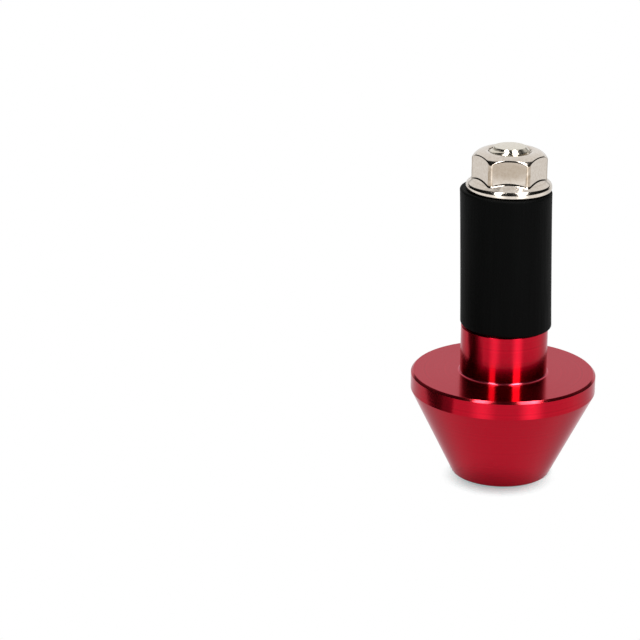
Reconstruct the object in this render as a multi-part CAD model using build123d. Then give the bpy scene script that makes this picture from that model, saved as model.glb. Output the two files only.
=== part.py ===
from build123d import *
import math
import os

# Bar end weight for a motorbike handlebar.
# A turned head closes the end of the bar. A rubber sleeve goes inside the bar, and a bolt with a flange nut
# squeezes the sleeve until it grips. The part stands on the small end of its head, and Z runs up its axis from
# the middle of that end. All sizes are in millimetres.

# Head, turned from one bar
RIM_DIAMETER = 36.0
RIM_BAND_HEIGHT = 3.6
RIM_CHAMFER = 0.45
TAPER_HEIGHT = 17.2
SMALL_END_WALL = 2.5
SMALL_END_EDGE_RADIUS = 0.7
NECK_DIAMETER = 16.9
NECK_LENGTH = 9.6
NECK_ROOT_RADIUS = 0.4
NECK_END_CHAMFER = 0.3
COUNTERBORE_CHAMFER = 0.4

# Rubber sleeve, a cut length of thick tube
SLEEVE_DIAMETER = 17.7
SLEEVE_LENGTH = 27.2
SLEEVE_EDGE_RADIUS = 0.45

# Hexagon nut with a flange
NUT_ACROSS_FLATS = 12.75
NUT_HEIGHT = 7.65
NUT_CORNER_RADIUS = 1.0
NUT_CROWN_WIDTH = 2.65
NUT_CROWN_DROP = 1.72
NUT_BORE_CHAMFER = 0.2
FLANGE_WIDTH = 1.875
FLANGE_LIP_HEIGHT = 1.2
FLANGE_LIP_RADIUS = 0.45
FLANGE_BROW_RADIUS = 0.9
FLANGE_SLOPE_DEGREES = 36.5

# Socket head bolt
THREAD_DIAMETER = 8.0
TIP_STANDOUT = 0.8
TIP_CHAMFER = 1.0
BOLT_HEAD_DIAMETER = 13.0
BOLT_HEAD_HEIGHT = 8.0
BOLT_HEAD_CHAMFER = 0.6
BOLT_HEAD_RECESS = 2.8
BOLT_NECK_RADIUS = 0.4
KEY_ACROSS_FLATS = 6.0
KEY_DEPTH = 4.0
KEY_MOUTH_CHAMFER = 0.2
KEY_POINT_DEGREES = 120.0

# Clearances on the radius
HEAD_BORE_CLEARANCE = 0.2
SLEEVE_BORE_CLEARANCE = 0.3
NUT_THREAD_CLEARANCE = 0.05
BOLT_HEAD_CLEARANCE = 0.5

# Radii that follow from these
rim_radius = RIM_DIAMETER / 2
neck_radius = NECK_DIAMETER / 2
sleeve_radius = SLEEVE_DIAMETER / 2
thread_radius = THREAD_DIAMETER / 2
bolt_head_radius = BOLT_HEAD_DIAMETER / 2
counterbore_radius = bolt_head_radius + BOLT_HEAD_CLEARANCE
small_end_radius = counterbore_radius + SMALL_END_WALL
head_bore_radius = thread_radius + HEAD_BORE_CLEARANCE
sleeve_bore_radius = thread_radius + SLEEVE_BORE_CLEARANCE
nut_bore_radius = thread_radius + NUT_THREAD_CLEARANCE
nut_flat_radius = NUT_ACROSS_FLATS / 2
nut_corner_reach = nut_flat_radius / math.cos(math.pi / 6)
key_flat_radius = KEY_ACROSS_FLATS / 2
key_corner_reach = key_flat_radius / math.cos(math.pi / 6)

# Heights of the stack, from the small end up
bolt_seat = BOLT_HEAD_RECESS + BOLT_HEAD_HEIGHT
shoulder = TAPER_HEIGHT + RIM_BAND_HEIGHT
neck_end = shoulder + NECK_LENGTH
nut_seat = neck_end + SLEEVE_LENGTH
nut_top = nut_seat + NUT_HEIGHT
bolt_tip = nut_top + TIP_STANDOUT


def turned(*corners):
    """Solid turned about Z from a closed outline of (radius, height, corner rounding)."""
    points = [(radius, height) for radius, height, rounding in corners]
    roundings = [rounding for radius, height, rounding in corners]
    outline = FilletPolyline(*points, radius=roundings, close=True)
    return revolve(Plane.XZ * make_face(outline), Axis.Z)


def hexagon(flat_radius, corner_radius, base, height):
    """Upright hexagonal bar with a flat towards each of +Y and -Y."""
    outline = RegularPolygon(flat_radius, 6, major_radius=False)
    if corner_radius > 0:
        outline = fillet(outline.vertices(), corner_radius)
    return extrude(Plane.XY.offset(base) * outline, height)


def make_weight_head():
    """Head with its taper, rim band, shoulder and neck, bored and counterbored for the bolt."""
    bore_relief = head_bore_radius + BOLT_NECK_RADIUS
    return turned(
        (counterbore_radius + COUNTERBORE_CHAMFER, 0, 0),
        (small_end_radius, 0, SMALL_END_EDGE_RADIUS),
        (rim_radius, TAPER_HEIGHT, 0),
        (rim_radius, shoulder - RIM_CHAMFER, 0),
        (rim_radius - RIM_CHAMFER, shoulder, 0),
        (neck_radius, shoulder, NECK_ROOT_RADIUS),
        (neck_radius, neck_end - NECK_END_CHAMFER, 0),
        (neck_radius - NECK_END_CHAMFER, neck_end, 0),
        (head_bore_radius, neck_end, 0),
        (head_bore_radius, bolt_seat + BOLT_NECK_RADIUS, 0),
        (bore_relief, bolt_seat, 0),
        (counterbore_radius, bolt_seat, 0),
        (counterbore_radius, COUNTERBORE_CHAMFER, 0),
    )


def make_rubber_sleeve():
    """Tube that stands on the end of the neck, with its outer edges eased."""
    return turned(
        (sleeve_bore_radius, neck_end, 0),
        (sleeve_radius, neck_end, SLEEVE_EDGE_RADIUS),
        (sleeve_radius, nut_seat, SLEEVE_EDGE_RADIUS),
        (sleeve_bore_radius, nut_seat, 0),
    )


def make_nut_crown():
    """Round form that the top of the nut is cut to: flat in the middle, then an arc down past the corners."""
    crown_start = nut_corner_reach - NUT_CROWN_WIDTH
    crown_low = nut_top - NUT_CROWN_DROP
    outside = nut_corner_reach + NUT_CROWN_DROP
    crown = TangentArc((crown_start, nut_top), (nut_corner_reach, crown_low), tangent=(1, 0))
    sides = Polyline(
        (nut_corner_reach, crown_low),
        (outside, crown_low - NUT_CROWN_DROP),
        (outside, nut_seat),
        (0, nut_seat),
        (0, nut_top),
        (crown_start, nut_top),
    )
    return revolve(Plane.XZ * make_face(crown + sides), Axis.Z)


def make_flange_nut():
    """Nut with a rounded flange lip, a sloping flange and a crowned top, on the end of the sleeve."""
    flange_radius = nut_flat_radius + FLANGE_WIDTH
    lip_top = nut_seat + FLANGE_LIP_HEIGHT
    flange_rise = (flange_radius - nut_bore_radius) * math.tan(math.radians(FLANGE_SLOPE_DEGREES))
    flange = turned(
        (0, nut_seat, 0),
        (flange_radius, nut_seat, FLANGE_LIP_RADIUS),
        (flange_radius, lip_top, FLANGE_BROW_RADIUS),
        (nut_bore_radius, lip_top + flange_rise, 0),
        (0, lip_top + flange_rise, 0),
    )
    bore = turned(
        (0, nut_seat, 0),
        (nut_bore_radius + NUT_BORE_CHAMFER, nut_seat, 0),
        (nut_bore_radius, nut_seat + NUT_BORE_CHAMFER, 0),
        (nut_bore_radius, nut_top - NUT_BORE_CHAMFER, 0),
        (nut_bore_radius + NUT_BORE_CHAMFER, nut_top, 0),
        (0, nut_top, 0),
    )
    bar = hexagon(nut_flat_radius, NUT_CORNER_RADIUS, nut_seat, NUT_HEIGHT)
    return (bar & make_nut_crown()) + flange - bore


def make_clamp_bolt():
    """Bolt with its head in the counterbore, its socket facing down and its tip standing out of the nut."""
    socket_floor = BOLT_HEAD_RECESS + KEY_DEPTH
    point_rise = key_flat_radius / math.tan(math.radians(KEY_POINT_DEGREES / 2))
    mouth_radius = key_corner_reach + KEY_MOUTH_CHAMFER
    blank = turned(
        (0, BOLT_HEAD_RECESS, 0),
        (bolt_head_radius - BOLT_HEAD_CHAMFER, BOLT_HEAD_RECESS, 0),
        (bolt_head_radius, BOLT_HEAD_RECESS + BOLT_HEAD_CHAMFER, 0),
        (bolt_head_radius, bolt_seat, 0),
        (thread_radius, bolt_seat, BOLT_NECK_RADIUS),
        (thread_radius, bolt_tip - TIP_CHAMFER, 0),
        (thread_radius - TIP_CHAMFER, bolt_tip, 0),
        (0, bolt_tip, 0),
    )
    point = turned((0, socket_floor, 0), (key_flat_radius, socket_floor, 0), (0, socket_floor + point_rise, 0))
    mouth = turned(
        (0, BOLT_HEAD_RECESS, 0),
        (mouth_radius, BOLT_HEAD_RECESS, 0),
        (0, BOLT_HEAD_RECESS + mouth_radius, 0),
    )
    socket = hexagon(key_flat_radius, 0, BOLT_HEAD_RECESS, KEY_DEPTH)
    return blank - socket - point - mouth


pieces = {
    "weight_head": make_weight_head(),
    "rubber_sleeve": make_rubber_sleeve(),
    "flange_nut": make_flange_nut(),
    "clamp_bolt": make_clamp_bolt(),
}

os.makedirs("parts", exist_ok=True)
for name, piece in pieces.items():
    export_step(piece, f"parts/{name}.step")
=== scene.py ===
import math

import bmesh
import bpy
from mathutils import Matrix, Vector


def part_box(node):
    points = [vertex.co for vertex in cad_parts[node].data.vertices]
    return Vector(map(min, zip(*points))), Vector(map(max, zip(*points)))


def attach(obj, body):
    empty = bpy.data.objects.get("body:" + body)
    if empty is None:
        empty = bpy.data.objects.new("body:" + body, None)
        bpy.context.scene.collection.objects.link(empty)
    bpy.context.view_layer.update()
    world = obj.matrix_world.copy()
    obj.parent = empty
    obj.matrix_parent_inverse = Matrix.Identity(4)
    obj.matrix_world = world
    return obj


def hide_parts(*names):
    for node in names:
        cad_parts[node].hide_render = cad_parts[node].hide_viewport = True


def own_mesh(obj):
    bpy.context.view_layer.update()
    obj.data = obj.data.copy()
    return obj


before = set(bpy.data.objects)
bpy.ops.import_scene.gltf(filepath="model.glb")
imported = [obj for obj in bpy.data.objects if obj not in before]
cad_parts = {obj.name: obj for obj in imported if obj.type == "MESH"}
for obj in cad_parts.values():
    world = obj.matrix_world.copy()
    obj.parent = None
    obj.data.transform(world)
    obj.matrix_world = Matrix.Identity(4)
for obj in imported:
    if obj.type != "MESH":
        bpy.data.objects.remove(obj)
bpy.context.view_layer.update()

# Looks of the bar end weight: a turned red head, a rubber sleeve, a flange nut and the bolt through them.
# Everything is in metres, in the frame of the CAD model, where Z runs up the axis from the small end.

MM = 0.001
WHITE = (1, 1, 1, 1)
ORIGIN = Vector((0, 0, 0))

# Sizes read from the frame
rim_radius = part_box("weight_head")[1][0]
neck_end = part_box("rubber_sleeve")[0][2]
nut_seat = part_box("rubber_sleeve")[1][2]
sleeve_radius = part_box("rubber_sleeve")[1][0]
nut_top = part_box("flange_nut")[1][2]
flange_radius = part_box("flange_nut")[1][0]
bolt_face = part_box("clamp_bolt")[0][2]
bolt_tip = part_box("clamp_bolt")[1][2]
bolt_head_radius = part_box("clamp_bolt")[1][0]

# Head
RIM_BAND_HEIGHT = 3.6 * MM
RIM_CHAMFER = 0.45 * MM
SMALL_END_WALL = 2.5 * MM
SMALL_END_EDGE_RADIUS = 0.7 * MM
NECK_RADIUS = 8.45 * MM
NECK_LENGTH = 9.6 * MM
NECK_ROOT_RADIUS = 0.4 * MM
NECK_END_CHAMFER = 0.3 * MM
COUNTERBORE_CLEARANCE = 0.5 * MM
COUNTERBORE_CHAMFER = 0.4 * MM
HEAD_BORE_CLEARANCE = 0.2 * MM
CRISP_EDGE = 0.06 * MM

# Rubber sleeve, slightly waisted between its two held ends and a little askew on the bolt
SLEEVE_EDGE_RADIUS = 0.45 * MM
SLEEVE_WAIST = 0.06 * MM
SLEEVE_FLARE_LENGTH = 2.5 * MM
SLEEVE_FOOT_LENGTH = 6.0 * MM
SLEEVE_BORE_CLEARANCE = 0.3 * MM
SLEEVE_SHIFT_AT_NECK = 0.22 * MM
SLEEVE_SHIFT_AT_NUT = -0.52 * MM
SLEEVE_END_TILT = math.radians(1.5)
SLEEVE_RIM_WIDTH = 0.8 * MM
SLEEVE_ROWS = 40

# Flange nut
NUT_FLAT_RADIUS = 6.375 * MM
NUT_CORNER_RADIUS = 1.0 * MM
NUT_CROWN_WIDTH = 2.65 * MM
NUT_CROWN_DROP = 1.72 * MM
NUT_CROWN_EDGE = 0.42 * MM
NUT_CROWN_ROWS = 6
NUT_BORE_CHAMFER = 0.25 * MM
FLANGE_LIP_HEIGHT = 1.2 * MM
FLANGE_LIP_RADIUS = 0.45 * MM
FLANGE_BROW_RADIUS = 0.90 * MM
FLANGE_SLOPE = math.radians(36.5)
FLANGE_FILLET = 0.60 * MM

# Socket head bolt with an M8 thread
THREAD_RADIUS = 4.0 * MM
THREAD_PITCH = 1.25 * MM
THREAD_DEPTH = 0.767 * MM
THREAD_LENGTH = 28.0 * MM
THREAD_RUN_OUT = 2.0 * MM
THREAD_PLAY = 0.06 * MM
THREAD_ROOT_FLAT = 0.25
THREAD_CREST_FLAT = 0.125
THREAD_ROWS_PER_TURN = 16
TIP_CHAMFER = 1.0 * MM
TIP_EDGE = 0.025 * MM
BOLT_HEAD_HEIGHT = 8.0 * MM
BOLT_HEAD_CHAMFER = 0.6 * MM
BOLT_HEAD_EDGE = 0.15 * MM
BOLT_NECK_RADIUS = 0.4 * MM
KEY_FLAT_RADIUS = 3.0 * MM
KEY_CORNER_RADIUS = 0.12 * MM
KEY_DEPTH = 4.0 * MM
KEY_MOUTH_CHAMFER = 0.2 * MM
KEY_POINT_SLOPE = math.radians(30)
KEY_POINT_SHARE = 0.95

# Heights that follow from these
shoulder = neck_end - NECK_LENGTH
taper_top = shoulder - RIM_BAND_HEIGHT
bolt_seat = bolt_face + BOLT_HEAD_HEIGHT

# Paler tones painted on the rim's bevel and in the root of the neck as highlights, the root also rougher, as
# corners of (radius, height)
BEVEL_INSET = 0.47 * MM
BEVEL_OUTSET = 0.1 * MM
BEVEL_RING = (
    (rim_radius - BEVEL_INSET, shoulder - BEVEL_INSET),
    (rim_radius + BEVEL_OUTSET, shoulder + BEVEL_OUTSET),
)
# Painted highlight: a paler red on the bevel, so that its glints look whiter
BEVEL_HIGHLIGHT_TONE = (0.42, 0.016, 0.026, 1)
ROOT_START = 0.02 * MM
ROOT_RING = (
    (NECK_RADIUS + ROOT_START, shoulder + ROOT_START),
    (NECK_RADIUS + NECK_ROOT_RADIUS, shoulder + NECK_ROOT_RADIUS),
)
# Painted highlight: a pale pink in the neck's root, so that it shows as a light line
ROOT_HIGHLIGHT_TONE = (0.50, 0.05, 0.08, 1)
ROOT_ROUGHNESS = 0.24
RING_FADE = 0.04 * MM

# Red dye in two tones that the tool marks mix, under a clear seal
DYE_TONES = ((0.33, 0.0012, 0.0112, 1), (0.44, 0.0030, 0.0160, 1))
DYE_EDGE_TINT = (0.94, 0.76, 0.80, 1)
DYE_ROUGHNESS = (0.16, 0.21)
FINE_RING_SPACING = 0.12 * MM
WIDE_RING_SPACING = 0.4 * MM
RING_DEPTH = 0.0015 * MM
TURNING_ANISOTROPY = 0.8
ACROSS_THE_RINGS = 0.25
SEAL_WEIGHT = 0.08
SEAL_ROUGHNESS = 0.08
SEAL_IOR = 1.6

# Black rubber
RUBBER_TONES = ((0.0014, 0.0018, 0.0016, 1), (0.0026, 0.0030, 0.0028, 1))
RUBBER_ROUGHNESS = (0.50, 0.66)
RUBBER_SPECULAR = 0.04
CLOUD_SPACING = 4.0 * MM
STREAK_SPACING = 0.35 * MM
STREAK_STRETCH = (1, 1, 40)
STREAK_DEPTH = 0.01 * MM
GRAIN_SPACING = 0.12 * MM
GRAIN_DEPTH = 0.004 * MM

# Plating, clean and stained
NUT_TONES = ((0.68, 0.62, 0.55, 1), (0.58, 0.51, 0.44, 1))
NUT_ROUGHNESS = 0.12
BOLT_TONES = ((0.70, 0.66, 0.57, 1), (0.60, 0.54, 0.44, 1))
BOLT_ROUGHNESS = 0.13
PLATING_ROUGHNESS_SPREAD = (0.8, 1.3)
STAIN_SPACING = 0.5 * MM
RIPPLE_SPACING = 0.8 * MM
RIPPLE_DEPTH = 0.004 * MM

# Range that most values of a noise fall in
NOISE_RANGE = (0.3, 0.7)

# Wear of the nut's plating
WEAR_TONE = (0.26, 0.19, 0.12, 1)
CORNER_WEAR = (7.00 * MM, 7.14 * MM)
CORNER_WEAR_SHARE = 0.85
WEAR_LEAST = 0.35
WEAR_SPACING = 0.9 * MM
WEAR_HEIGHT = (nut_seat + 1.8 * MM, nut_seat + 2.3 * MM)
PATCH_MIDDLE = Vector((-0.5 * MM, -NUT_FLAT_RADIUS, nut_seat + 5.4 * MM))
PATCH_STRETCH = Vector((0.55, 1.0, 1.4))
PATCH_FADE = (4.4 * MM, 1.2 * MM)
PATCH_DEPTH = (-NUT_FLAT_RADIUS + 0.10 * MM, -NUT_FLAT_RADIUS + 0.02 * MM)
PATCH_SHARE = 0.55

# Fineness of the turned meshes
ROUND_STEPS = 256
CORNER_STEPS = 6
FLAT_STEPS = 20
WELD_DISTANCE = 0.0001 * MM
LARGEST_FACE_WEIGHT = 100

# Studio: a white dome, wall and table that metal mirrors, dark elsewhere, with lamps in front
LIGHT_TARGET = Vector((0, 0, 35.0 * MM))
DOME_ELEVATION = math.radians(50)
DOME_MIDDLE = Vector((0, math.cos(DOME_ELEVATION), math.sin(DOME_ELEVATION)))
DOME_EDGE = (0.71, 0.77)
WALL_EDGE = (0.60, 0.80)
WALL_FOOT = (-0.04, 0.0)
WALL_TOP = (0.24, 0.16)
TABLE_EDGE = (0.02, -0.06)
TABLE_LEVEL = 1.02
TABLE_NEAR_LEVEL = 0.18
TABLE_BACK_LEVEL = -0.32
TABLE_BACK_EDGE = (0.1, 0.7)
OVERHEAD_PLACE = Vector((0, 0.05, 0.50))
OVERHEAD_SIZE = (0.40, 0.40)
OVERHEAD_BRIGHTNESS = 3.0
LAMP_DISTANCE = 0.40
STRIP_HEIGHT = 0.50
LEFT_STRIP = {"azimuth": -32, "elevation": 40, "lean": 10, "width": 0.105, "brightness": 5.8,
              "glow": 1.0, "glow_azimuth": -24}
RIGHT_STRIP = {"azimuth": 41.5, "elevation": 40, "lean": -14, "width": 0.13, "brightness": 9.0,
               "glow": 1.35, "glow_azimuth": 37}
GLOW_EDGE = (math.radians(20), math.radians(1))
GLOW_DEPTH = (-0.75, -0.40)
EDGE_LAMP_HEIGHT = 0.14
EDGE_LAMP_AZIMUTH_AND_WIDTH = {"left_edge": (-43, 0.065), "right_edge": (66, 0.080)}
EDGE_LAMP_ELEVATION = 66
EDGE_LAMP_BRIGHTNESS = 12.0
DARK_LEVEL = 0.006
SOFT_LEVEL = 0.25
CARD_MIDDLE = Vector((-45.0, -12.0, 11.5)) * MM
CARD_LENGTH = Vector((0, 0.8, 0.6)) * 22.0 * MM
CARD_WIDTH = Vector((0, -0.6, 0.8)) * 10.0 * MM
CARD_TONE = (0.006, 0.001, 0.001, 1)
CARD_STEPS = ((-14.0 * MM, 0.06), (-20.0 * MM, 0.18))
CARD_STEP_FADE = 1.0 * MM

# Floor, balanced against the red light that the head casts on it
FLOOR_RADIUS = 0.1
FLOOR_SIDES = 64
FLOOR_ROUGHNESS = 0.9
FLOOR_TONE = (1.0, 0.8, 0.8, 1)
FLOOR_LIFT = (0.18, 0.35, 0.35, 1)
CONTACT_FADE = (8.6 * MM, 10.6 * MM)
MOUTH_FADE = (7.5 * MM, 7.1 * MM)
SHADOW_MIDDLE = Vector((-0.4 * MM, -3.5 * MM, 0))
SHADOW_FADE = (5.9 * MM, 11.5 * MM)

# Camera, fitted to the outlines in the photograph, which is 640 pixels square
IMAGE_SIZE = 640
CAMERA_TARGET = Vector((0, 0, 25.0 * MM))
CAMERA_DISTANCE = 500.0 * MM
CAMERA_ELEVATION = math.radians(19.45)
CAMERA_ROLL = math.radians(1.85)
FOCAL_PIXELS = 2557.9
TARGET_PIXEL = Vector((503.7, 349.9))


def rounded_corner(before, here, after, rounding):
    """Points of the arc that rounds one corner of an outline."""
    back = (before - here).normalized()
    on = (after - here).normalized()
    half = back.angle(on) / 2
    centre = here + (back + on).normalized() * rounding / math.sin(half)
    first = here + back * rounding / math.tan(half) - centre
    last = here + on * rounding / math.tan(half) - centre
    steps = [step / CORNER_STEPS for step in range(CORNER_STEPS + 1)]
    return [centre + first.slerp(last, step).normalized() * rounding for step in steps]


def outline(corners, closed=True):
    """Outline points from corners of (radius, height, rounding)."""
    places = [Vector((radius, height)) for radius, height, rounding in corners]
    points = []
    for i, (radius, height, rounding) in enumerate(corners):
        if rounding > 0:
            points += rounded_corner(places[i - 1], places[i], places[(i + 1) % len(places)], rounding)
        else:
            points.append(places[i])
    if closed:
        points.append(points[0])
    return points


def round_angles():
    """Even angles for a piece that is round all over."""
    return [2 * math.pi * step / ROUND_STEPS for step in range(ROUND_STEPS)]


def corner_half_angle(flat_radius, corner_radius):
    """Angle from a hexagon's corner to where its rounding meets the flat."""
    run = (flat_radius - corner_radius) * math.tan(math.pi / 6)
    return math.pi / 6 - math.atan2(run, flat_radius)


def hexagon_angles(flat_radius, corner_radius):
    """Angles for a piece with a hexagon in it, closer together around the six corners."""
    half = corner_half_angle(flat_radius, corner_radius)
    angles = []
    for corner in range(6):
        middle = corner * math.pi / 3
        flat = math.pi / 3 - 2 * half
        angles += [middle - half + 2 * half * step / CORNER_STEPS for step in range(CORNER_STEPS)]
        angles += [middle + half + flat * step / FLAT_STEPS for step in range(FLAT_STEPS)]
    return angles


def hexagon_radius(angle, flat_radius, corner_radius):
    """Radius of a hexagon with rounded corners at an angle. A corner points to +X and a flat to -Y."""
    from_corner = abs((angle + math.pi / 6) % (math.pi / 3) - math.pi / 6)
    if from_corner > corner_half_angle(flat_radius, corner_radius):
        return flat_radius / math.cos(math.pi / 6 - from_corner)
    centre = (flat_radius - corner_radius) / math.cos(math.pi / 6)
    side = centre * math.sin(from_corner)
    return centre * math.cos(from_corner) + math.sqrt(corner_radius ** 2 - side ** 2)


def thread_radius(height, angle):
    """Radius of the bolt's thread: a ridge with flat crests that climbs one pitch a turn."""
    phase = (height / THREAD_PITCH - angle / (2 * math.pi)) % 1
    ridge = 1 - abs(2 * phase - 1)
    climb = (ridge - THREAD_ROOT_FLAT) / (1 - THREAD_ROOT_FLAT - THREAD_CREST_FLAT)
    flank = min(max(climb, 0), 1)
    return THREAD_RADIUS - THREAD_DEPTH * (1 - flank)


def thread_heights(low, high):
    """Heights of the mesh rows of a thread."""
    rows = round((high - low) / THREAD_PITCH * THREAD_ROWS_PER_TURN)
    return [low + (high - low) * row / rows for row in range(rows + 1)]


def add_turned(name, outline_at, angles):
    """Mesh object swept about Z from an outline that may change with the angle."""
    mesh = bmesh.new()
    rings = []
    poles = {}
    for angle in angles:
        ring = []
        for row, (radius, height) in enumerate(outline_at(angle)):
            if radius > 0:
                ring.append(mesh.verts.new((radius * math.cos(angle), radius * math.sin(angle), height)))
            else:
                if row not in poles:
                    poles[row] = mesh.verts.new((0, 0, height))
                ring.append(poles[row])
        rings.append(ring)
    for i, ring in enumerate(rings):
        following = rings[(i + 1) % len(rings)]
        for row in range(len(ring) - 1):
            loop = [ring[row], following[row], following[row + 1], ring[row + 1]]
            mesh.faces.new(list(dict.fromkeys(loop)))
    bmesh.ops.remove_doubles(mesh, verts=mesh.verts, dist=WELD_DISTANCE)
    bmesh.ops.recalc_face_normals(mesh, faces=mesh.faces)
    for face in mesh.faces:
        face.smooth = True
    data = bpy.data.meshes.new(name)
    mesh.to_mesh(data)
    mesh.free()
    piece = bpy.data.objects.new(name, data)
    bpy.context.collection.objects.link(piece)
    weighting = piece.modifiers.new("even_shading", "WEIGHTED_NORMAL")
    weighting.weight = LARGEST_FACE_WEIGHT
    return piece


def dress(piece, node, body, material):
    """Puts a piece in a CAD node's place, on its body and with its finish."""
    piece.data.materials.append(material)
    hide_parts(node)
    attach(piece, body)


def add_head(material):
    """Head with a taper, a rim band, a shoulder face and a neck, bored and counterbored for the bolt."""
    counterbore = bolt_head_radius + COUNTERBORE_CLEARANCE
    bore = THREAD_RADIUS + HEAD_BORE_CLEARANCE
    points = outline([
        (counterbore + COUNTERBORE_CHAMFER, 0, CRISP_EDGE),
        (counterbore + SMALL_END_WALL, 0, SMALL_END_EDGE_RADIUS),
        (rim_radius, taper_top, CRISP_EDGE),
        (rim_radius, shoulder - RIM_CHAMFER, CRISP_EDGE),
        (rim_radius - RIM_CHAMFER, shoulder, CRISP_EDGE),
        (NECK_RADIUS, shoulder, NECK_ROOT_RADIUS),
        (NECK_RADIUS, neck_end - NECK_END_CHAMFER, CRISP_EDGE),
        (NECK_RADIUS - NECK_END_CHAMFER, neck_end, CRISP_EDGE),
        (bore, neck_end, CRISP_EDGE),
        (bore, bolt_seat + BOLT_NECK_RADIUS, 0),
        (bore + BOLT_NECK_RADIUS, bolt_seat, 0),
        (counterbore, bolt_seat, CRISP_EDGE),
        (counterbore, COUNTERBORE_CHAMFER, CRISP_EDGE),
    ])
    piece = add_turned("turned_head", lambda angle: points, round_angles())
    dress(piece, "weight_head", "head", material)


def sleeve_side(height):
    """Radius of the sleeve's side, which swells again towards the nut and a little towards the neck."""
    flare = math.exp(-(nut_seat - height) / SLEEVE_FLARE_LENGTH)
    foot = math.exp(-(height - neck_end) / SLEEVE_FOOT_LENGTH)
    return sleeve_radius - SLEEVE_WAIST * (1 - max(flare, foot))


def add_sleeve(material):
    """Cut length of thick rubber tube, built at one length; the real one gets shorter as the nut draws down
    on it.
    """
    bore = THREAD_RADIUS + SLEEVE_BORE_CLEARANCE
    low = neck_end + SLEEVE_EDGE_RADIUS
    high = nut_seat - SLEEVE_EDGE_RADIUS
    heights = [low + (high - low) * row / SLEEVE_ROWS for row in range(1, SLEEVE_ROWS)]
    side = [(sleeve_side(height), height, 0) for height in heights]
    rim = sleeve_radius - SLEEVE_RIM_WIDTH
    foot = [(bore, neck_end, 0), (rim, neck_end, 0), (sleeve_side(neck_end), neck_end, SLEEVE_EDGE_RADIUS)]
    top = [(sleeve_side(nut_seat), nut_seat, SLEEVE_EDGE_RADIUS), (rim, nut_seat, 0), (bore, nut_seat, 0)]
    points = outline(foot + side + top)
    piece = add_turned("grip_sleeve", lambda angle: points, round_angles())
    length = nut_seat - neck_end
    for vertex in piece.data.vertices:
        if vertex.co.xy.length > rim + CRISP_EDGE:
            share = (vertex.co.z - neck_end) / length
            vertex.co.z -= vertex.co.x * math.tan(SLEEVE_END_TILT)
            vertex.co.x += SLEEVE_SHIFT_AT_NECK + (SLEEVE_SHIFT_AT_NUT - SLEEVE_SHIFT_AT_NECK) * share
    dress(piece, "rubber_sleeve", "head", material)
    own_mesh(piece)


def nut_outline(angle):
    """Outline of the nut at an angle: flange, flat, crown and threaded bore."""
    side = hexagon_radius(angle, NUT_FLAT_RADIUS, NUT_CORNER_RADIUS)
    lip_top = nut_seat + FLANGE_LIP_HEIGHT
    flange_meets = lip_top + (flange_radius - side) * math.tan(FLANGE_SLOPE)
    crown_start = NUT_FLAT_RADIUS / math.cos(math.pi / 6) - NUT_CROWN_WIDTH
    crown_radius = (NUT_CROWN_WIDTH ** 2 + NUT_CROWN_DROP ** 2) / (2 * NUT_CROWN_DROP)
    crown_lean = math.asin((side - crown_start) / crown_radius)
    crown = []
    for row in range(NUT_CROWN_ROWS + 1):
        lean = crown_lean * (1 - row / NUT_CROWN_ROWS)
        radius = crown_start + crown_radius * math.sin(lean)
        height = nut_top - crown_radius * (1 - math.cos(lean))
        crown.append((radius, height, NUT_CROWN_EDGE if row == 0 else 0))
    mouth = THREAD_RADIUS + NUT_BORE_CHAMFER
    bore = []
    for height in reversed(thread_heights(nut_seat, nut_top)):
        countersink = mouth - min(nut_top - height, height - nut_seat)
        bore.append((max(thread_radius(height, angle) + THREAD_PLAY, countersink), height, 0))
    flange = [
        (flange_radius, nut_seat, FLANGE_LIP_RADIUS),
        (flange_radius, lip_top, FLANGE_BROW_RADIUS),
        (side, flange_meets, FLANGE_FILLET),
    ]
    return outline(flange + crown + bore)


def add_nut(material):
    """Crowned hexagon nut with its flange."""
    angles = hexagon_angles(NUT_FLAT_RADIUS, NUT_CORNER_RADIUS)
    piece = add_turned("crowned_nut", nut_outline, angles)
    dress(piece, "flange_nut", "nut", material)


def bolt_outline(angle):
    """Outline of the bolt at an angle, from the point of its socket round to the middle of its tip."""
    key = hexagon_radius(angle, KEY_FLAT_RADIUS, KEY_CORNER_RADIUS)
    mouth = KEY_FLAT_RADIUS / math.cos(math.pi / 6) + KEY_MOUTH_CHAMFER
    point = KEY_FLAT_RADIUS * KEY_POINT_SHARE
    floor = bolt_face + KEY_DEPTH
    head = [
        (0, floor + point * math.tan(KEY_POINT_SLOPE), 0),
        (point, floor, 0),
        (key, floor, 0),
        (key, bolt_face + mouth - key, 0),
        (mouth, bolt_face, 0),
        (bolt_head_radius - BOLT_HEAD_CHAMFER, bolt_face, BOLT_HEAD_EDGE),
        (bolt_head_radius, bolt_face + BOLT_HEAD_CHAMFER, BOLT_HEAD_EDGE),
        (bolt_head_radius, bolt_seat, BOLT_HEAD_EDGE),
        (THREAD_RADIUS, bolt_seat, BOLT_NECK_RADIUS),
    ]
    thread_start = bolt_tip - THREAD_LENGTH
    shank = []
    for height in thread_heights(thread_start, bolt_tip)[:-1]:
        cut = min((height - thread_start) / THREAD_RUN_OUT, 1)
        radius = THREAD_RADIUS - cut * (THREAD_RADIUS - thread_radius(height, angle))
        shank.append((min(radius, THREAD_RADIUS - TIP_CHAMFER + bolt_tip - height), height, 0))
    tip = [(THREAD_RADIUS - TIP_CHAMFER, bolt_tip, TIP_EDGE), (0, bolt_tip, 0)]
    return outline(head + shank + tip, closed=False)


def add_bolt(material):
    """Socket head bolt with a rolled thread and a chamfered tip."""
    angles = hexagon_angles(KEY_FLAT_RADIUS, KEY_CORNER_RADIUS)
    piece = add_turned("socket_bolt", bolt_outline, angles)
    dress(piece, "clamp_bolt", "bolt", material)


def new_material(name):
    """Node material, with its node tree and its shader."""
    material = bpy.data.materials.new(name)
    material.use_nodes = True
    return material, material.node_tree, material.node_tree.nodes["Principled BSDF"]


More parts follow.
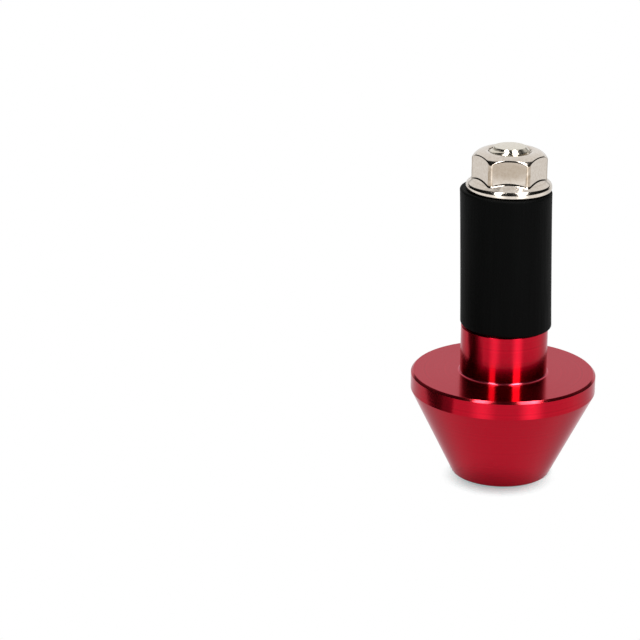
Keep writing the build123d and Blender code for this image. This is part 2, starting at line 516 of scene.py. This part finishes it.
def set_inputs(tree, node, values):
    """Sets a node's inputs by name or number, and links those whose value is a socket."""
    for name, value in values.items():
        if isinstance(value, bpy.types.NodeSocket):
            tree.links.new(value, node.inputs[name])
        else:
            node.inputs[name].default_value = value


def add_node(tree, kind, settings=None, **values):
    """Shader node with its settings and its inputs, where Two_Words is a name and _2 is a number."""
    node = tree.nodes.new(kind)
    for setting, value in (settings or {}).items():
        setattr(node, setting, value)
    names = {name: int(name[1:]) if name[1:].isdigit() else name.replace("_", " ") for name in values}
    set_inputs(tree, node, {names[name]: value for name, value in values.items()})
    return node


def maths(tree, operation, first, second=0.0):
    """Result of one operation on two numbers."""
    return add_node(tree, "ShaderNodeMath", {"operation": operation}, _0=first, _1=second).outputs[0]


def ramp(tree, value, low, high):
    """Smooth step from zero at low to one at high."""
    smooth = {"interpolation_type": "SMOOTHSTEP"}
    node = add_node(tree, "ShaderNodeMapRange", smooth, Value=value, From_Min=low, From_Max=high)
    return node.outputs[0]


def spread(tree, value, low, high):
    """Noise value turned into a range of numbers."""
    node = add_node(tree, "ShaderNodeMapRange", Value=value, To_Min=low, To_Max=high)
    set_inputs(tree, node, {"From Min": NOISE_RANGE[0], "From Max": NOISE_RANGE[1]})
    return node.outputs[0]


def blend(tree, share, first, second):
    """Colour that goes from the first to the second as the share goes from zero to one."""
    return add_node(tree, "ShaderNodeMix", {"data_type": "RGBA"}, _0=share, _6=first, _7=second).outputs[2]


def bump(tree, height, depth, **under):
    """Normal of a surface that a noise value raises by up to depth, over another normal if given."""
    return add_node(tree, "ShaderNodeBump", Height=height, Distance=depth, **under).outputs[0]


def seen_directly(tree):
    """One where the camera sees a surface, straight, by a mirror or through glass, and zero elsewhere."""
    path = add_node(tree, "ShaderNodeLightPath").outputs
    mirrored = maths(tree, "MAXIMUM", path["Is Camera Ray"], path["Is Glossy Ray"])
    return maths(tree, "MAXIMUM", mirrored, path["Is Transmission Ray"])


def object_place(tree):
    """Place of a shading point in the frame of the part, as a vector socket."""
    return add_node(tree, "ShaderNodeTexCoord").outputs["Object"]


def distance_from(tree, place, middle):
    """Distance of a shading point from a fixed point."""
    node = add_node(tree, "ShaderNodeVectorMath", {"operation": "DISTANCE"}, _0=place, _1=middle)
    return node.outputs["Value"]


def from_axis(tree, place):
    """Distance of a shading point from the Z axis, and its coordinates."""
    axes = add_node(tree, "ShaderNodeSeparateXYZ", Vector=place).outputs
    flat = add_node(tree, "ShaderNodeCombineXYZ", X=axes["X"], Y=axes["Y"]).outputs[0]
    return distance_from(tree, flat, ORIGIN), axes


def noise(tree, place, spacing, detail=2.0, stretch=(1, 1, 1)):
    """Noise whose features are about spacing apart, stretched along the axes by a factor each."""
    scale = tuple(1 / (spacing * factor) for factor in stretch)
    scaled = add_node(tree, "ShaderNodeMapping", Vector=place, Scale=scale).outputs[0]
    return add_node(tree, "ShaderNodeTexNoise", Vector=scaled, Scale=1.0, Detail=detail).outputs["Fac"]


def turning_lines(tree, place, spacing):
    """Fine rings that a lathe tool leaves, along the side of a turned piece and across its faces."""
    radius, axes = from_axis(tree, place)
    along = maths(tree, "ADD", radius, axes["Z"])
    one_way = {"noise_dimensions": "1D"}
    rings = add_node(tree, "ShaderNodeTexNoise", one_way, W=along, Scale=1 / spacing, Detail=3.0)
    return rings.outputs["Fac"]


def in_ring(tree, place, corners):
    """One inside a ring about Z, given by its low inner and its high outer corner, and zero away from it."""
    radius, axes = from_axis(tree, place)
    inside = 1.0
    for value, low, high in zip((radius, axes["Z"]), *corners):
        above = ramp(tree, value, low - RING_FADE, low)
        below = ramp(tree, value, high + RING_FADE, high)
        inside = maths(tree, "MULTIPLY", inside, maths(tree, "MULTIPLY", above, below))
    return inside


def red_anodised():
    """Red dyed and sealed aluminium, bright from turning, with its gloss drawn out across the tool marks, and
    with paler tones painted on the rim's bevel and in the neck's root as highlights.
    """
    material, tree, shader = new_material("red_anodised_aluminium")
    place = object_place(tree)
    rings = turning_lines(tree, place, FINE_RING_SPACING)
    wide_rings = turning_lines(tree, place, WIDE_RING_SPACING)
    tangent = add_node(tree, "ShaderNodeTangent", {"direction_type": "RADIAL", "axis": "Z"}).outputs[0]
    bevel = in_ring(tree, place, BEVEL_RING)
    root = in_ring(tree, place, ROOT_RING)
    # Painted highlight: the bevel gets a paler red than the dye
    dye_and_bevel_highlight = blend(tree, bevel, blend(tree, wide_rings, *DYE_TONES), BEVEL_HIGHLIGHT_TONE)
    rough_root = maths(tree, "MULTIPLY", root, ROOT_ROUGHNESS)
    set_inputs(tree, shader, {
        "Metallic": 1.0,
        # Painted highlight: the neck's root gets a pale pink tone, and it is also made rougher
        "Base Color": blend(tree, root, dye_and_bevel_highlight, ROOT_HIGHLIGHT_TONE),
        "Roughness": maths(tree, "MAXIMUM", spread(tree, rings, *DYE_ROUGHNESS), rough_root),
        "Normal": bump(tree, rings, RING_DEPTH),
        "Tangent": tangent,
        "Anisotropic": TURNING_ANISOTROPY,
        "Anisotropic Rotation": ACROSS_THE_RINGS,
        "Specular Tint": DYE_EDGE_TINT,
        "Coat Weight": SEAL_WEIGHT,
        "Coat Roughness": SEAL_ROUGHNESS,
        "Coat IOR": SEAL_IOR,
    })
    return material


def black_rubber():
    """Extruded black rubber with faint draw lines along it."""
    material, tree, shader = new_material("extruded_black_rubber")
    place = object_place(tree)
    streaks = noise(tree, place, STREAK_SPACING, detail=3.0, stretch=STREAK_STRETCH)
    grain = bump(tree, noise(tree, place, GRAIN_SPACING), GRAIN_DEPTH)
    set_inputs(tree, shader, {
        "Base Color": blend(tree, noise(tree, place, CLOUD_SPACING), *RUBBER_TONES),
        "Roughness": spread(tree, streaks, *RUBBER_ROUGHNESS),
        "Specular IOR Level": RUBBER_SPECULAR,
        "Normal": bump(tree, streaks, STREAK_DEPTH, Normal=grain),
    })
    return material


def nut_wear(tree, place):
    """How much the nut's plating is rubbed brown: at its corners, and over the flat that faces the camera."""
    radius, axes = from_axis(tree, place)
    corner = ramp(tree, radius, *CORNER_WEAR)
    above = ramp(tree, axes["Z"], *WEAR_HEIGHT)
    wide = add_node(tree, "ShaderNodeMapping", Vector=place, Scale=PATCH_STRETCH).outputs[0]
    around = ramp(tree, distance_from(tree, wide, PATCH_MIDDLE * PATCH_STRETCH), *PATCH_FADE)
    patch = maths(tree, "MULTIPLY", around, ramp(tree, axes["Y"], *PATCH_DEPTH))
    uneven = spread(tree, noise(tree, place, WEAR_SPACING), WEAR_LEAST, CORNER_WEAR_SHARE)
    rubbed = maths(tree, "MULTIPLY", maths(tree, "MULTIPLY", corner, above), uneven)
    return maths(tree, "MAXIMUM", rubbed, maths(tree, "MULTIPLY", patch, PATCH_SHARE))


def plated_metal(name, tones, roughness, wear=None):
    """Bright plating over steel, with faint stains, a slight ripple and, where given, brown wear."""
    material, tree, shader = new_material(name)
    place = object_place(tree)
    stains = noise(tree, place, STAIN_SPACING, detail=4.0)
    colour = blend(tree, spread(tree, stains, 0, 1), *tones)
    if wear:
        colour = blend(tree, wear(tree, place), colour, WEAR_TONE)
    least, most = PLATING_ROUGHNESS_SPREAD
    set_inputs(tree, shader, {
        "Metallic": 1.0,
        "Base Color": colour,
        "Roughness": spread(tree, stains, roughness * least, roughness * most),
        "Normal": bump(tree, noise(tree, place, RIPPLE_SPACING), RIPPLE_DEPTH),
    })
    return material


def add_floor():
    """White floor that takes the shadow and fades into the white around it, and is clear from below."""
    material, tree, shader = new_material("white_floor")
    place = object_place(tree)
    reach = distance_from(tree, place, ORIGIN)
    contact = ramp(tree, reach, *CONTACT_FADE)
    shadow = ramp(tree, distance_from(tree, place, SHADOW_MIDDLE), *SHADOW_FADE)
    mouth = ramp(tree, reach, *MOUTH_FADE)
    underside = add_node(tree, "ShaderNodeNewGeometry").outputs["Backfacing"]
    fade = maths(tree, "MAXIMUM", maths(tree, "MINIMUM", contact, shadow), mouth)
    fade = maths(tree, "MAXIMUM", fade, underside)
    set_inputs(tree, shader, {
        "Base Color": FLOOR_TONE,
        "Roughness": FLOOR_ROUGHNESS,
        "Specular IOR Level": 0.0,
        "Emission Color": FLOOR_LIFT,
        "Emission Strength": seen_directly(tree),
    })
    clear = add_node(tree, "ShaderNodeBsdfTransparent").outputs[0]
    mixed = add_node(tree, "ShaderNodeMixShader", _0=fade, _1=shader.outputs[0], _2=clear).outputs[0]
    set_inputs(tree, tree.nodes["Material Output"], {"Surface": mixed})
    bpy.ops.mesh.primitive_circle_add(vertices=FLOOR_SIDES, radius=FLOOR_RADIUS, fill_type="NGON")
    floor = bpy.context.object
    floor.name = "floor"
    floor.data.materials.append(material)


def mirrored_studio(tree):
    """Brightness that metal mirrors: dome and wall behind, and a table with the glow of two strips."""
    way = add_node(tree, "ShaderNodeTexCoord").outputs["Generated"]
    axes = add_node(tree, "ShaderNodeSeparateXYZ", Vector=way).outputs
    facing = add_node(tree, "ShaderNodeVectorMath", {"operation": "DOT_PRODUCT"}, _0=way, _1=DOME_MIDDLE)
    dome = ramp(tree, facing.outputs["Value"], *DOME_EDGE)
    table = ramp(tree, axes["Z"], *TABLE_EDGE)
    azimuth = maths(tree, "ARCTAN2", axes["X"], maths(tree, "MULTIPLY", axes["Y"], -1.0))
    shallow = ramp(tree, axes["Z"], *GLOW_DEPTH)
    back = ramp(tree, axes["Y"], *TABLE_BACK_EDGE)
    near = maths(tree, "ADD", maths(tree, "MULTIPLY", shallow, TABLE_NEAR_LEVEL), TABLE_LEVEL)
    level = maths(tree, "ADD", maths(tree, "MULTIPLY", back, TABLE_BACK_LEVEL), near)
    for strip in (LEFT_STRIP, RIGHT_STRIP):
        off = maths(tree, "ABSOLUTE", maths(tree, "SUBTRACT", azimuth, math.radians(strip["glow_azimuth"])))
        glow = maths(tree, "MULTIPLY", ramp(tree, off, *GLOW_EDGE), shallow)
        level = maths(tree, "ADD", maths(tree, "MULTIPLY", glow, strip["glow"]), level)
    lit_table = maths(tree, "MULTIPLY", table, level)
    low = maths(tree, "MULTIPLY", ramp(tree, axes["Z"], *WALL_FOOT), ramp(tree, axes["Z"], *WALL_TOP))
    wall = maths(tree, "MULTIPLY", ramp(tree, axes["Y"], *WALL_EDGE), low)
    white = maths(tree, "MAXIMUM", dome, wall)
    return maths(tree, "MAXIMUM", maths(tree, "MAXIMUM", white, lit_table), DARK_LEVEL)


def set_world():
    """White studio for the camera, soft light for matt surfaces, and dome and table for metal to mirror."""
    world = bpy.data.worlds.new("studio")
    bpy.context.scene.world = world
    world.use_nodes = True
    tree = world.node_tree
    path = add_node(tree, "ShaderNodeLightPath").outputs
    mirrored = mirrored_studio(tree)
    unseen = add_node(tree, "ShaderNodeMix", _0=path["Is Glossy Ray"], _2=SOFT_LEVEL, _3=mirrored)
    seen = maths(tree, "MAXIMUM", path["Is Camera Ray"], path["Is Transmission Ray"])
    shown = add_node(tree, "ShaderNodeMix", _0=seen, _2=unseen.outputs[0], _3=1.0)
    set_inputs(tree, tree.nodes["Background"], {"Color": WHITE, "Strength": shown.outputs[0]})


def towards(azimuth, elevation):
    """Direction from the part, by degrees to the right of the camera and degrees above the floor."""
    a = math.radians(azimuth)
    e = math.radians(elevation)
    return Vector((math.sin(a) * math.cos(e), -math.cos(a) * math.cos(e), math.sin(e)))


def add_softbox(name, centre, size, lean, brightness):
    """Rectangular lamp that faces the part, leant over in its own plane, with its light per area given."""
    width, height = size
    lamp = bpy.data.lights.new(name, "AREA")
    lamp.shape = "RECTANGLE"
    lamp.size = width
    lamp.size_y = height
    lamp.energy = brightness * math.pi * width * height
    softbox = bpy.data.objects.new(name, lamp)
    facing = (centre - LIGHT_TARGET).to_track_quat("Z", "Y").to_matrix()
    turned = facing @ Matrix.Rotation(math.radians(lean), 3, "Z")
    softbox.matrix_world = Matrix.Translation(centre) @ turned.to_4x4()
    bpy.context.collection.objects.link(softbox)
    return softbox


def add_lamps():
    """One wide lamp overhead for matt surfaces, and strips and edge lamps in front for metal to mirror."""
    overhead = add_softbox("overhead", OVERHEAD_PLACE, OVERHEAD_SIZE, 0, OVERHEAD_BRIGHTNESS)
    overhead.visible_glossy = False
    for name, strip in (("left_strip", LEFT_STRIP), ("right_strip", RIGHT_STRIP)):
        centre = LIGHT_TARGET + towards(strip["azimuth"], strip["elevation"]) * LAMP_DISTANCE
        size = (strip["width"], STRIP_HEIGHT)
        lamp = add_softbox(name, centre, size, strip["lean"], strip["brightness"])
        lamp.visible_diffuse = False
    for name, (azimuth, width) in EDGE_LAMP_AZIMUTH_AND_WIDTH.items():
        centre = LIGHT_TARGET + towards(azimuth, EDGE_LAMP_ELEVATION) * LAMP_DISTANCE
        lamp = add_softbox(name, centre, (width, EDGE_LAMP_HEIGHT), 0, EDGE_LAMP_BRIGHTNESS)
        lamp.visible_diffuse = False


def add_dark_card():
    """Slanted dark card with a paler end to the left of the part, seen only in the metal's reflections."""
    material, tree, shader = new_material("dark_card")
    axes = add_node(tree, "ShaderNodeSeparateXYZ", Vector=object_place(tree)).outputs
    glow = 0.0
    for edge, level in CARD_STEPS:
        step = ramp(tree, axes["Y"], edge + CARD_STEP_FADE, edge - CARD_STEP_FADE)
        glow = maths(tree, "ADD", maths(tree, "MULTIPLY", step, level), glow)
    set_inputs(tree, shader, {"Base Color": CARD_TONE, "Emission Color": WHITE, "Emission Strength": glow})
    data = bpy.data.meshes.new("dark_card")
    signs = ((-1, -1), (1, -1), (1, 1), (-1, 1))
    corners = [CARD_MIDDLE + CARD_LENGTH * x + CARD_WIDTH * y for x, y in signs]
    data.from_pydata(corners, [], [(0, 1, 2, 3)])
    data.materials.append(material)
    card = bpy.data.objects.new("dark_card", data)
    bpy.context.collection.objects.link(card)
    card.visible_camera = False
    card.visible_diffuse = False
    card.visible_shadow = False


def add_camera():
    """Camera at the photograph's viewpoint, turned so that its target lands on its place in the frame."""
    away = Vector((0, -math.cos(CAMERA_ELEVATION), math.sin(CAMERA_ELEVATION)))
    right = Vector((1, 0, 0))
    up = away.cross(right)
    level = Matrix((right, -up, -away))
    roll = Matrix.Rotation(CAMERA_ROLL, 3, "Z")
    offset = (TARGET_PIXEL - Vector((IMAGE_SIZE, IMAGE_SIZE)) / 2) / FOCAL_PIXELS
    aim = Vector((0, 0, 1)).rotation_difference(Vector((*offset, 1))).to_matrix()
    axes = aim @ roll @ level
    data = bpy.data.cameras.new("camera")
    data.lens = FOCAL_PIXELS * data.sensor_width / IMAGE_SIZE
    camera = bpy.data.objects.new("camera", data)
    turned = Matrix((axes[0], -axes[1], -axes[2])).transposed()
    camera.matrix_world = Matrix.Translation(CAMERA_TARGET + away * CAMERA_DISTANCE) @ turned.to_4x4()
    bpy.context.collection.objects.link(camera)
    bpy.context.scene.camera = camera


add_head(red_anodised())
add_sleeve(black_rubber())
add_nut(plated_metal("plated_nut_steel", NUT_TONES, NUT_ROUGHNESS, nut_wear))
add_bolt(plated_metal("plated_bolt_steel", BOLT_TONES, BOLT_ROUGHNESS))
add_floor()
set_world()
add_lamps()
add_dark_card()
add_camera()
bpy.context.scene.view_settings.view_transform = "Standard"
